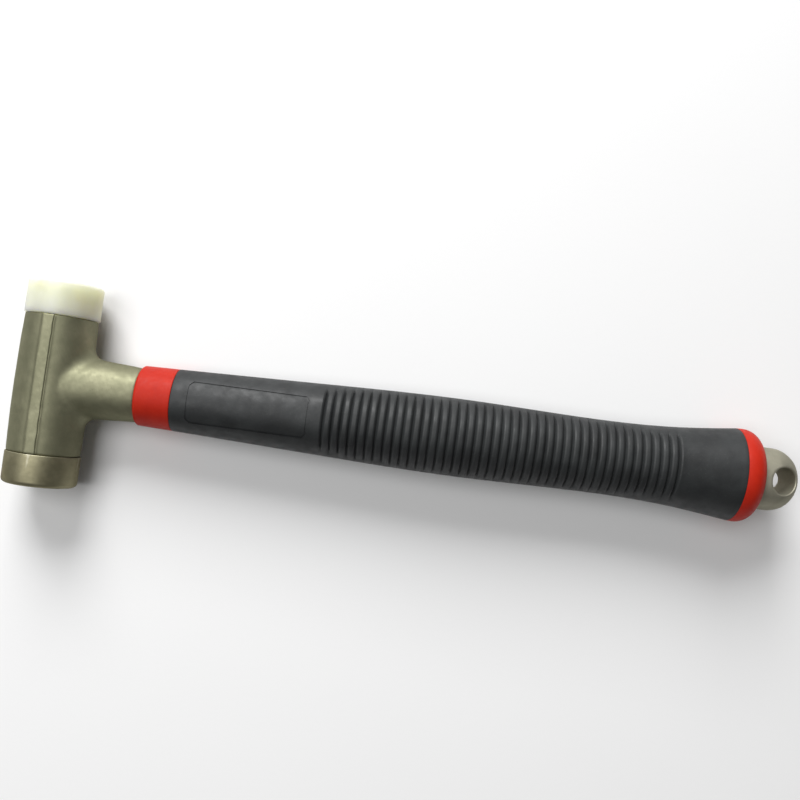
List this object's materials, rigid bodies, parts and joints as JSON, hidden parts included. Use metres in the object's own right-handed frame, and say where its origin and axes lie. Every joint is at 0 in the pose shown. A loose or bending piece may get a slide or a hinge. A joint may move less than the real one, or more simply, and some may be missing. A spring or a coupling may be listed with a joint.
{
  "type": "dead blow mallet",
  "caption": "Soft and hard faced dead blow mallet: hollow cast steel head with sliding steel shot, nylon tip, steel face, tubular shaft, two-material grip and domed hanging eye.",
  "frame": {"origin": "centre of the steel striking face", "axes": "+Y up the head to the nylon face, +X from the head along the handle to the hanging eye, +Z square to both, along the hanging eye's hole"},
  "size_m": [0.326, 0.0841, 0.0388],
  "materials": {
    "cast_steel": "satin olive bronze coating over a fine cast skin",
    "turned_steel": "turned steel with a thin olive bronze coating, worn at the edge",
    "nylon": "natural ivory nylon, slightly translucent, semi-gloss",
    "red_plastic": "red moulded plastic, satin",
    "black_rubber": "matte black moulded rubber",
    "tube_steel": "drawn steel tube",
    "spring_steel": "blackened spring steel",
    "ball_steel": "bright steel balls"
  },
  "bodies": {
    "mallet": {"head_casting": "cast_steel", "striking_face": "turned_steel", "chamber_cup": "tube_steel", "shaft_tube": "tube_steel", "shaft_pin": "spring_steel", "eye_pin": "spring_steel", "grip_core": "red_plastic", "grip_cover": "black_rubber", "hanging_eye": "cast_steel"},
    "tip": {"nylon_tip": "nylon"},
    "shot": {"steel_shot": "ball_steel"}
  },
  "joints": [
    {"name": "tip_pull", "type": "slide", "parent": "mallet", "child": "tip", "axis": [0, 1, 0], "range_m": [0, 0.0096]},
    {"name": "shot_slide", "type": "slide", "parent": "mallet", "child": "shot", "axis": [0, 1, 0], "range_m": [0, 0.0072]}
  ]
}
